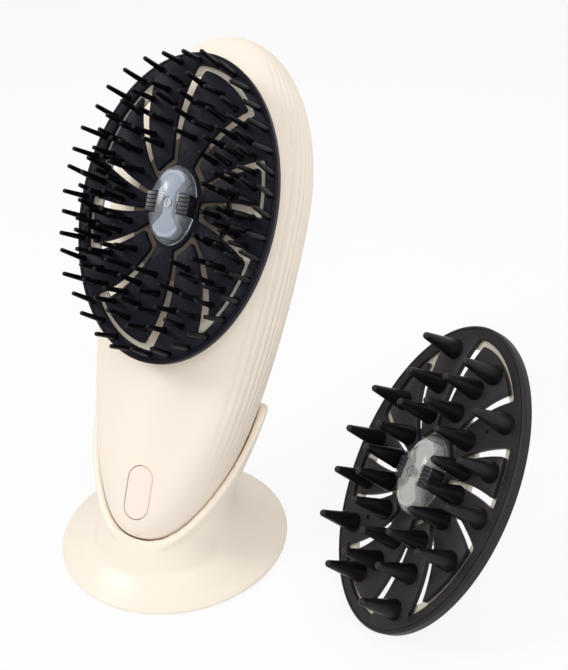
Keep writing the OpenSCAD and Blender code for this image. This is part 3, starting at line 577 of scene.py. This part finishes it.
combine(standBody, [neck, cradle], "UNION")
combine(standBody, [placed(bodySkin("cup", stand["snug"], 10, 90, neckTurns), massagerPlace)])
remesh = standBody.modifiers.new("remesh", "REMESH")
remesh.mode = "VOXEL"
remesh.voxel_size = stand["voxel"]
bake(standBody)
weights = standBody.vertex_groups.new(name="soften")
co = np.array([v.co for v in standBody.data.vertices])
soften = smoothStep((co[:, 2] - 3.5) / 5)
for i, w in enumerate(soften):
    weights.add([i], float(w), "REPLACE")
smoother = standBody.modifiers.new("smoother", "SMOOTH")
smoother.factor = 0.5
smoother.iterations = 16
smoother.vertex_group = "soften"
bake(standBody)
atTip = Matrix.Translation((0, -standing["tipDrop"], -bodyMid)) @ Matrix.Rotation(math.pi / 2, 4, "X")
combine(standBody, [placed(drum("bumperWell", 4.1, -2, 1.75), massagerPlace @ atTip)])
settle(standBody, Matrix.Identity(4), "stand", creamStand, "cream_shell", "stand_shell", angle=50)
print("stand:", len(standBody.data.polygons), "faces")


hubWide, hubHigh = 9.4, 16
petalWide, petalHigh = hubWide + head["innerGap"], hubHigh + head["innerGap"]
gapWide, gapHigh = head["wide"] - head["band"], head["high"] - head["band"]
outerEnds = [88, 56, 30, 0, -28, -68]


def ovalRadius(a, wide, high):
    return wide * high / math.hypot(high * math.cos(a), wide * math.sin(a))


def slotAngle(k, s):
    outer = outerEnds[k % 6] - 180 * (k // 6)
    inner = 100 - 30 * k
    return math.radians(inner + (outer - inner) * (max(0, s - 0.3) / 0.62) ** 1.3)


def slotEdge(k, s, side):
    a = slotAngle(k, s)
    r = s * ovalRadius(a, head["wide"], head["high"])
    half = (head["slotWidth"] + head["slotFlare"] * r) / 2
    a += side * math.asin(half / r)
    return (r * math.cos(a), r * math.sin(a))


def edgeRun(k, side, inner, outer):
    # the stretch of a slot's edge between two ovals, from the inside out
    run = []
    for s in np.linspace(0.16, 1.06, 260):
        x, y = slotEdge(k, s, side)
        if (x / inner[0]) ** 2 + (y / inner[1]) ** 2 < 1:
            continue
        if (x / outer[0]) ** 2 + (y / outer[1]) ** 2 > 1:
            break
        run.append((x, y))
    return run


def arc(fromPoint, toPoint, wide, high):
    a, b = math.atan2(fromPoint[1], fromPoint[0]), math.atan2(toPoint[1], toPoint[0])
    while b > a:
        b -= 2 * math.pi
    count = max(3, int(abs(b - a) * 40))
    return [(ovalRadius(t, wide, high) * math.cos(t), ovalRadius(t, wide, high) * math.sin(t))
            for t in np.linspace(a, b, count)]


def evenLoop(loop, step=0.42, rounding=5):
    loop = np.array(loop)
    closed = np.vstack([loop, loop[:1]])
    lengths = np.concatenate([[0], np.cumsum(np.linalg.norm(np.diff(closed, axis=0), axis=1))])
    count = int(lengths[-1] / step)
    at = np.linspace(0, lengths[-1], count, endpoint=False)
    even = np.stack([np.interp(at, lengths, closed[:, i]) for i in (0, 1)], 1)
    for _ in range(rounding):
        even = (np.roll(even, 1, 0) + 2 * even + np.roll(even, -1, 0)) / 4
    return even


def offsetLoop(loop, distance):
    # positive distances move away from the middle of a clockwise loop
    tangent = np.roll(loop, -1, 0) - np.roll(loop, 1, 0)
    tangent /= np.linalg.norm(tangent, axis=1)[:, None]
    return loop + distance * np.stack([-tangent[:, 1], tangent[:, 0]], 1)


def rimInnerLoop():
    petal, gap = (petalWide, petalHigh), (gapWide, gapHigh)
    runs = [(edgeRun(k, -1, petal, gap), edgeRun(k + 1, 1, petal, gap)) for k in range(1, 12, 2)]
    loop = []
    for i, (inward, outward) in enumerate(runs):
        loop += inward[::-1]
        loop += arc(inward[0], outward[0], *petal)
        loop += outward
        loop += arc(outward[-1], runs[(i + 1) % 6][0][-1], *gap)
    return evenLoop(loop)


def hubOuterLoop():
    hub, reach = (hubWide, hubHigh), (gapWide - head["outerGap"], gapHigh - head["outerGap"])
    runs = [(edgeRun(k, -1, hub, reach), edgeRun(k + 1, 1, hub, reach)) for k in range(0, 11, 2)]
    loop = []
    for i, (outward, inward) in enumerate(runs):
        loop += outward
        loop += arc(outward[-1], inward[-1], *reach)
        loop += inward[::-1]
        loop += arc(inward[0], runs[(i + 1) % 6][0][0], *hub)
    return evenLoop(loop)


def ovalLoop(inset, count=260):
    t = np.linspace(0, -2 * math.pi, count, endpoint=False)
    return np.stack([(head["wide"] - inset) * np.cos(t), (head["high"] - inset) * np.sin(t)], 1)


def plateSolid(name, outer, inner):
    # outer and inner are lists of (loop, height) from the top face round to the bottom face
    work = bmesh.new()

    def addRing(loop, z):
        return [work.verts.new((x, y, z)) for x, y in loop]

    ends = []
    for rings in (outer, inner):
        rows = [addRing(loop, z) for loop, z in rings]
        for a, b in zip(rows, rows[1:]):
            n = len(a)
            for i in range(n):
                work.faces.new((a[i], a[(i + 1) % n], b[(i + 1) % n], b[i]))
        ends.append((rows[0], rows[-1]))
    for side in (0, 1):
        edges = []
        for rows in ends:
            row = rows[side]
            n = len(row)
            for i in range(n):
                edge = work.edges.get((row[i], row[(i + 1) % n]))
                edges.append(edge or work.edges.new((row[i], row[(i + 1) % n])))
        bmesh.ops.triangle_fill(work, use_beauty=True, use_dissolve=False, edges=edges)
    bmesh.ops.recalc_face_normals(work, faces=work.faces)
    mesh = bpy.data.meshes.new(name)
    work.to_mesh(mesh)
    work.free()
    piece = bpy.data.objects.new(name, mesh)
    scene.collection.objects.link(piece)
    return piece


def rimSolid(name):
    wall, skirt, thick = head["skirtWall"], head["skirt"], head["thick"]
    corner = [(0.9 - 0.9 * math.sin(a), -0.9 + 0.9 * math.cos(a)) for a in np.linspace(0, math.pi / 2, 7)]
    profile = [(1.55, 0), (1.5, -0.05), (1.5, -0.3), (1.15, -0.3), (1.15, -0.05), (1.1, 0)] + corner
    profile += [(0, -skirt + 0.2), (0.2, -skirt), (wall, -skirt), (wall, -thick)]
    outer = [(ovalLoop(inset), z) for inset, z in profile]
    loop = rimInnerLoop()
    inner = [(offsetLoop(loop, 0.18), 0), (offsetLoop(loop, 0.05), -0.06), (loop, -0.2), (loop, -thick)]
    return plateSolid(name, outer, inner)


def hubSolid(name):
    loop = hubOuterLoop()
    outer = [(offsetLoop(loop, -0.18), 0), (offsetLoop(loop, -0.05), -0.06), (loop, -0.2),
             (loop, -head["thick"])]
    t = np.linspace(0, -2 * math.pi, 48, endpoint=False)
    hole = np.stack([3.2 * np.cos(t), 3.2 * np.sin(t)], 1)
    return plateSolid(name, outer, [(hole, 0), (hole, -head["thick"])])


def sectorPlace(k, s, t):
    a = slotAngle(k, s) * (1 - t) + slotAngle(k + 1, s) * t
    r = s * ovalRadius(a, head["wide"], head["high"])
    return (r * math.cos(a), r * math.sin(a))


def markRing(name, p):
    # flush round mark left by the mould
    ring = drum(name, marks["outer"], -marks["depth"], 1, p, 24)
    return combine(ring, [drum(name + "Core", marks["inner"], -1, 2, p, 24)])


marks = {"outer": 1.6, "inner": 1.3, "depth": 0.16, "share": 0.617, "innerShare": 0.34, "pit": 0.8}
pins = {
    "rings": [0.79, 0.675, 0.56, 0.45],
    "counts": [[3, 3, 2, 1], [3, 2, 2, 1], [3, 2, 2, 1], [3, 2, 2, 1], [4, 3, 2, 1], [3, 2, 2, 1]],
    "band": 36, "length": 15.6, "foot": 2.1, "tip": 1.55, "lean": 3, "sweep": 4,
}
cones = {
    "length": 16.8, "foot": 7.5, "tip": 2.7,
    "share": [0.82, 0.818, 0.78, 0.778, 0.818, 0.848], "across": [0.57, 0.46, 0.43, 0.45, 0.46, 0.52],
}


def sectorPins(k):
    places = []
    for j, ring in enumerate(pins["rings"]):
        n = pins["counts"][k % 6][j]
        places += [sectorPlace(k, ring, (i + 0.5) / n) for i in range(n)]
    return places


def bandPins():
    places = []
    for i in range(pins["band"]):
        a = 2 * math.pi * i / pins["band"]
        b = a + math.radians(6 * math.sin(2 * a))
        r = 0.945 * ovalRadius(b, head["wide"], head["high"])
        places.append((r * math.cos(b), r * math.sin(b)))
    return places


def endShare(a):
    near = ovalRadius(a, gapWide - head["outerGap"], gapHigh - head["outerGap"])
    return (near - cones["foot"] / 2 - 0.3) / ovalRadius(a, head["wide"], head["high"])


def conePlaces(k):
    share, across = cones["share"][k % 6], cones["across"][k % 6]
    if k % 2 == 0:
        share = min(share, endShare((1 - across) * slotAngle(k, 0.8) + across * slotAngle(k + 1, 0.8)))
    places = [sectorPlace(k, share, across), sectorPlace(k, 0.44, 0.47)]
    if k % 6 in (0, 5):
        places.append(sectorPlace(k, 0.635, 0.52))
    return places


def lathePattern(name, profile, count):
    # one pin or cone, from just under the plate to its rounded tip
    turns = np.linspace(0, 2 * math.pi, count, endpoint=False)
    rings = [[(r * math.cos(a), r * math.sin(a), z) for a in turns] for r, z in profile]
    pattern = ringSkin(name, rings, (0, 0, profile[0][1]), (0, 0, profile[-1][1] + 0.02))
    return softNormals(pattern, 60)


def tipped(foot, tip, length, flare, steps, blunt=1.0):
    # blunt is the height of the rounded end as a share of its radius
    r = tip / 2
    rows = [(foot / 2 + flare, -0.3), (foot / 2 + flare * 0.35, 0.25), (foot / 2, 0.8)]
    rows.append((r, length - r * blunt))
    rows += [(r * math.cos(a), length - r * blunt * (1 - math.sin(a)))
             for a in np.linspace(0, math.pi / 2, steps + 1)[1:-1]]
    return rows


def mathNode(tree, operation):
    node = tree.nodes.new("ShaderNodeMath")
    node.operation = operation
    return node


def bristleTree(name):
    tree = bpy.data.node_groups.new(name, "GeometryNodeTree")
    face = tree.interface
    face.new_socket("Geometry", in_out="INPUT", socket_type="NodeSocketGeometry")
    for socket, kind in (("Bristle", "NodeSocketObject"), ("Lean", "NodeSocketFloat"),
                         ("Sweep", "NodeSocketFloat"), ("Size", "NodeSocketFloat"),
                         ("Finish", "NodeSocketMaterial")):
        face.new_socket(socket, in_out="INPUT", socket_type=kind)
    face.new_socket("Geometry", in_out="OUTPUT", socket_type="NodeSocketGeometry")
    add = tree.nodes.new
    start, end = add("NodeGroupInput"), add("NodeGroupOutput")
    info = add("GeometryNodeObjectInfo")
    where = add("GeometryNodeInputPosition")
    split = add("ShaderNodeSeparateXYZ")
    spread, turnBy = mathNode(tree, "MULTIPLY"), mathNode(tree, "MULTIPLY_ADD")
    spread.inputs[1].default_value = math.radians(137)
    turnBy.inputs[1].default_value = math.radians(61)
    waves = []
    for operation in ("SINE", "COSINE"):
        wave, scaled = mathNode(tree, operation), mathNode(tree, "MULTIPLY")
        tree.links.new(turnBy.outputs[0], wave.inputs[0])
        tree.links.new(wave.outputs[0], scaled.inputs[0])
        tree.links.new(start.outputs["Lean"], scaled.inputs[1])
        waves.append(scaled)
    tilt = add("ShaderNodeCombineXYZ")
    scatter = add("GeometryNodeInstanceOnPoints")
    realize = add("GeometryNodeRealizeInstances")
    paint = add("GeometryNodeSetMaterial")
    link = tree.links.new
    link(start.outputs["Bristle"], info.inputs["Object"])
    link(where.outputs[0], split.inputs[0])
    link(split.outputs["X"], spread.inputs[0])
    link(split.outputs["Y"], turnBy.inputs[0])
    link(spread.outputs[0], turnBy.inputs[2])
    # the pins also sweep down the plate, more so towards its top
    high, swept = mathNode(tree, "MULTIPLY_ADD"), mathNode(tree, "MULTIPLY_ADD")
    high.inputs[1].default_value = 1 / head["high"]
    high.inputs[2].default_value = 0.6
    link(split.outputs["Y"], high.inputs[0])
    link(high.outputs[0], swept.inputs[0])
    link(start.outputs["Sweep"], swept.inputs[1])
    link(waves[0].outputs[0], swept.inputs[2])
    link(swept.outputs[0], tilt.inputs["X"])
    link(waves[1].outputs[0], tilt.inputs["Y"])
    link(start.outputs["Geometry"], scatter.inputs["Points"])
    link(info.outputs["Geometry"], scatter.inputs["Instance"])
    link(tilt.outputs[0], scatter.inputs["Rotation"])
    link(start.outputs["Size"], scatter.inputs["Scale"])
    link(scatter.outputs[0], realize.inputs[0])
    link(realize.outputs[0], paint.inputs["Geometry"])
    link(start.outputs["Finish"], paint.inputs["Material"])
    link(paint.outputs[0], end.inputs[0])
    return tree


bristles = bristleTree("bristles")


def scatterBristles(name, places, pattern, lean, sweep, finish):
    piece = newPiece(name, [(x, y, 0) for x, y in places], [])
    step = piece.modifiers.new("bristles", "NODES")
    step.node_group = bristles
    values = {"Bristle": pattern, "Lean": math.radians(lean), "Sweep": math.radians(sweep),
              "Size": 1.0, "Finish": finish}
    for item in bristles.interface.items_tree:
        if item.in_out == "INPUT" and item.name in values:
            step[item.identifier] = values[item.name]
    return bake(piece)


finePin = lathePattern("finePin", tipped(pins["foot"], pins["tip"], pins["length"], 0.45, 3, 0.55), 12)
thickCone = lathePattern("thickCone",
                         tipped(cones["foot"] - 0.3, cones["tip"], cones["length"], 0.3, 4), 28)

fineRim = rimSolid("fineRimPlate")
combine(fineRim, [markRing(f"rimMark{k}", sectorPlace(k, marks["share"], 0.5)) for k in range(1, 12, 2)])
fineHub = hubSolid("fineHubPlate")
combine(fineHub, [markRing(f"hubMark{k}{i}", sectorPlace(k, s, 0.5))
                  for k in range(0, 11, 2) for i, s in enumerate((marks["innerShare"], marks["share"]))])
coneRim = rimSolid("coneRimPlate")
combine(coneRim, [drum(f"pit{k}", marks["pit"], -0.8, 1,
                       sectorPlace(k, 0.64, 0.85 if k % 6 == 5 else 0.5), 20)
                  for k in range(1, 12, 2)])
coneHub = hubSolid("coneHubPlate")
rimPins = [p for k in range(1, 12, 2) for p in sectorPins(k)] + bandPins()
hubPins = [p for k in range(0, 11, 2) for p in sectorPins(k)]
rimCones = [p for k in range(1, 12, 2) for p in conePlaces(k)]
hubCones = [p for k in range(0, 11, 2) for p in conePlaces(k)]
settle(fineRim, massagerPlace, "fine_head", blueBlack, "blue_black", "fine_rim_plate")
settle(fineHub, massagerPlace, "fine_hub", blueBlack, "blue_black", "fine_hub_plate")
settle(coneRim, sparePlace, "cone_head", charcoalPlate, "charcoal", "cone_rim_plate")
settle(coneHub, sparePlace, "cone_hub", charcoalPlate, "charcoal", "cone_hub_plate")
settle(scatterBristles("fineRimPins", rimPins, finePin, pins["lean"], pins["sweep"], pinBlack),
       massagerPlace, "fine_head", pinBlack, "blue_black", "fine_rim_plate", angle=60)
settle(scatterBristles("fineHubPins", hubPins, finePin, pins["lean"], pins["sweep"], pinBlack),
       massagerPlace, "fine_hub", pinBlack, "blue_black", "fine_hub_plate", angle=60)
settle(scatterBristles("coneRimCones", rimCones, thickCone, 0, 0, coneBlack),
       sparePlace, "cone_head", coneBlack, "charcoal", "cone_rim_plate", angle=60)
settle(scatterBristles("coneHubCones", hubCones, thickCone, 0, 0, coneBlack),
       sparePlace, "cone_hub", coneBlack, "charcoal", "cone_hub_plate", angle=60)
drop(finePin)
drop(thickCone)
print("brush heads:", len(rimPins) + len(hubPins), "pins,", len(rimCones) + len(hubCones), "cones")


lens = {"high": 14.5, "wide": 8.5, "rise": 7.6, "wall": 1.0, "finInner": 3.9, "finOuter": 8.3,
        "finHigh": 7.6, "finTop": 6.6, "notchGap": 0.15, "screwTop": 5.9}
bowTie = [(-0.35, 0.34), (-0.98, 0.72), (-0.5, 0.98), (0.5, 0.98), (0.98, 0.72), (0.35, 0.34),
          (0.35, -0.34), (0.98, -0.72), (0.5, -0.98), (-0.5, -0.98), (-0.98, -0.72), (-0.35, -0.34)]


def dome(name, wide, high, low, top, straight):
    turns = np.linspace(0, 2 * math.pi, 96, endpoint=False)
    rings = [[(wide * math.cos(a), high * math.sin(a), low) for a in turns]]
    for t in np.sin(np.linspace(0, math.pi / 2, 22))[:-1]:
        share = (1 - t ** 2.6) ** (1 / 2.6)
        z = low + straight + (top - low - straight) * share
        rings.append([(wide * t * math.cos(a), high * t * math.sin(a), z) for a in turns])
    # rings run from the foot to the rim of the dome, then in to its middle
    foot = [(wide * math.cos(a), high * math.sin(a), low + straight) for a in turns]
    rings = [rings[0], foot] + rings[:1:-1]
    return ringSkin(name, rings, (0, 0, low), (0, 0, top))


def lensCap(name):
    cap = dome(name, lens["wide"], lens["high"], 0.02, lens["rise"], 0.8)
    combine(cap, [dome(name + "Inside", lens["wide"] - lens["wall"], lens["high"] - lens["wall"], -1,
                       lens["rise"] - 1.2, 1.4)])
    for i, side in enumerate((-1, 1)):
        x = sorted((side * (lens["finInner"] - lens["notchGap"]), side * 14))
        y = lens["finHigh"] / 2 + lens["notchGap"]
        combine(cap, [sideBox(f"notch{i}", (x[0], -y, -1), (x[1], y, 9))])
    combine(cap, [drum("screwHole", 1.15, -1, 10), drum("screwSeat", 2.0, lens["screwTop"], 10)])
    return cap


def finBlocks(name):
    # two dark blocks with fine grooves that stand in the notches of the lens
    blocks = None
    half = lens["finHigh"] / 2
    for side in (-1, 1):
        x = sorted((side * lens["finInner"], side * lens["finOuter"]))
        block = sideBox(name, (x[0], -half, 0.02), (x[1], half, lens["finTop"]))
        edge = block.modifiers.new("edge", "BEVEL")
        edge.width = 0.35
        edge.segments = 3
        bake(block)
        for y in (-2.2, -0.73, 0.73, 2.2):
            x = sorted((side * (lens["finInner"] - 1), side * 12))
            groove = sideBox("groove", (x[0], y - 0.16, lens["finTop"] - 1.4), (x[1], y + 0.16, 9))
            combine(block, [groove])
        blocks = combine(block, [blocks], "UNION") if blocks else block
    return blocks


def lightCore(name):
    # white bow tie that shows through the lens
    outline = evenLoop([(x * 5.0, y * 12.2) for x, y in bowTie][::-1], 0.3, 14)
    core = prism(name, outline, 0.02, 4.8)
    return combine(core, [drum("bushHole", 3.3, -1, 3.4), drum("coreHole", 1.3, 3, 6)])


def capScrew(name):
    screw = drum(name, 1.75, lens["screwTop"] + 0.02, lens["screwTop"] + 0.65, count=40)
    combine(screw, [drum("shank", 0.9, -0.9, lens["screwTop"] + 0.3, count=24)], "UNION")
    top = lens["screwTop"] + 0.3
    return combine(screw, [sideBox("slotAcross", (-1.1, -0.2, top), (1.1, 0.2, 9)),
                           sideBox("slotAlong", (-0.2, -1.1, top), (0.2, 1.1, 9))])


for kind, place, glass, slotName in (("fine", massagerPlace, frostedLens, "frosted_lens"),
                                     ("cone", sparePlace, warmLens, "warm_lens")):
    body = kind + "_hub"
    settle(lensCap(kind + "LensCap"), place, body, glass, slotName, kind + "_lens_cap", angle=40)
    settle(finBlocks(kind + "FinBlocks"), place, body, slateFins, "slate", kind + "_fin_blocks")
    settle(lightCore(kind + "LightCore"), place, body, whiteCore, "white_plastic", kind + "_reflector")
    settle(capScrew(kind + "CapScrew"), place, body, screwSteel, "bright_steel", kind + "_cap_screw")
print("lens caps made")


camera = {"place": (0.1551, -0.2718, 0.2704), "down": 0.713, "round": 0.519, "roll": -0.042,
          "right": 0.05494, "up": 0.07517, "lens": 53.73}


def makeCamera():
    e, a, roll = camera["down"], camera["round"], camera["roll"]
    r = Vector((math.cos(a), math.sin(a), 0))
    u = Vector((-math.sin(a) * math.sin(e), math.cos(a) * math.sin(e), math.cos(e)))
    place = Vector(camera["place"])
    look = (r * camera["right"] + u * camera["up"] - place).normalized()
    right = look.cross(Vector((0, 0, 1))).normalized()
    up = right.cross(look)
    side = right * math.cos(roll) + up * math.sin(roll)
    top = up * math.cos(roll) - right * math.sin(roll)
    data = bpy.data.cameras.new("camera")
    data.lens = camera["lens"]
    data.sensor_width = 36
    data.clip_start = 0.01
    data.clip_end = 20
    rig = bpy.data.objects.new("camera", data)
    turn = Matrix((side, top, -look)).transposed()
    rig.matrix_world = Matrix.Translation(place) @ turn.to_4x4()
    scene.collection.objects.link(rig)
    scene.camera = rig


makeCamera()

floorMesh = bpy.data.meshes.new("floor")
corners = [(x * 3, y * 3, -0.0002) for x, y in ((-1, -1), (1, -1), (1, 1), (-1, 1))]
floorMesh.from_pydata(corners, [], [(0, 1, 2, 3)])
floor = bpy.data.objects.new("floor", floorMesh)
scene.collection.objects.link(floor)


def seenWhite(tree, strength):
    # white to the camera, to reflections and through the lens
    path = tree.nodes.new("ShaderNodeLightPath")
    some, more = mathNode(tree, "MAXIMUM"), mathNode(tree, "MAXIMUM")
    tree.links.new(path.outputs["Is Camera Ray"], some.inputs[0])
    tree.links.new(path.outputs["Is Glossy Ray"], some.inputs[1])
    tree.links.new(some.outputs[0], more.inputs[0])
    tree.links.new(path.outputs["Is Transmission Ray"], more.inputs[1])
    scaled = mathNode(tree, "MULTIPLY")
    scaled.inputs[1].default_value = strength
    tree.links.new(more.outputs[0], scaled.inputs[0])
    return scaled.outputs[0]


light = {"world": 0.52, "paper": 0.92, "paperGlow": 0.85}
floorFinish = bpy.data.materials.new("floorFinish")
floorFinish.use_nodes = True
tree = floorFinish.node_tree
tree.nodes.remove(tree.nodes["Principled BSDF"])
paper = tree.nodes.new("ShaderNodeBsdfDiffuse")
paper.inputs["Color"].default_value = (light["paper"], light["paper"], light["paper"], 1)
glow = tree.nodes.new("ShaderNodeEmission")
glow.inputs["Color"].default_value = (1, 1, 1, 1)
blendIn = tree.nodes.new("ShaderNodeMixShader")
tree.links.new(seenWhite(tree, light["paperGlow"]), blendIn.inputs[0])
tree.links.new(paper.outputs[0], blendIn.inputs[1])
tree.links.new(glow.outputs[0], blendIn.inputs[2])
tree.links.new(blendIn.outputs[0], tree.nodes["Material Output"].inputs["Surface"])
floorMesh.materials.append(floorFinish)

world = bpy.data.worlds.new("studio")
scene.world = world
world.use_nodes = True
tree = world.node_tree
sky = tree.nodes["Background"]
sky.inputs["Color"].default_value = (1, 1, 1, 1)
rest = mathNode(tree, "MULTIPLY_ADD")
rest.inputs[1].default_value = 1 - light["world"]
rest.inputs[2].default_value = light["world"]
tree.links.new(seenWhite(tree, 1.0), rest.inputs[0])
tree.links.new(rest.outputs[0], sky.inputs["Strength"])


def softLamp(name, place, aim, size, power):
    data = bpy.data.lights.new(name, "AREA")
    data.shape = "DISK"
    data.size = size
    data.energy = power
    lamp = bpy.data.objects.new(name, data)
    lamp.location = place
    lamp.rotation_mode = "QUATERNION"
    lamp.rotation_quaternion = (Vector(aim) - Vector(place)).to_track_quat("-Z", "Y")
    scene.collection.objects.link(lamp)


lampAim = (0.03, 0, 0.08)
softLamp("keyLamp", (-0.68, -0.45, 0.85), lampAim, 0.4, 4.2)
softLamp("fillLamp", (0.6, -0.8, 0.75), lampAim, 0.9, 4.5)
softLamp("topLamp", (0.1, 0.3, 1.1), lampAim, 0.7, 2)
print("camera, floor and light set")

scene.view_settings.view_transform = "Standard"
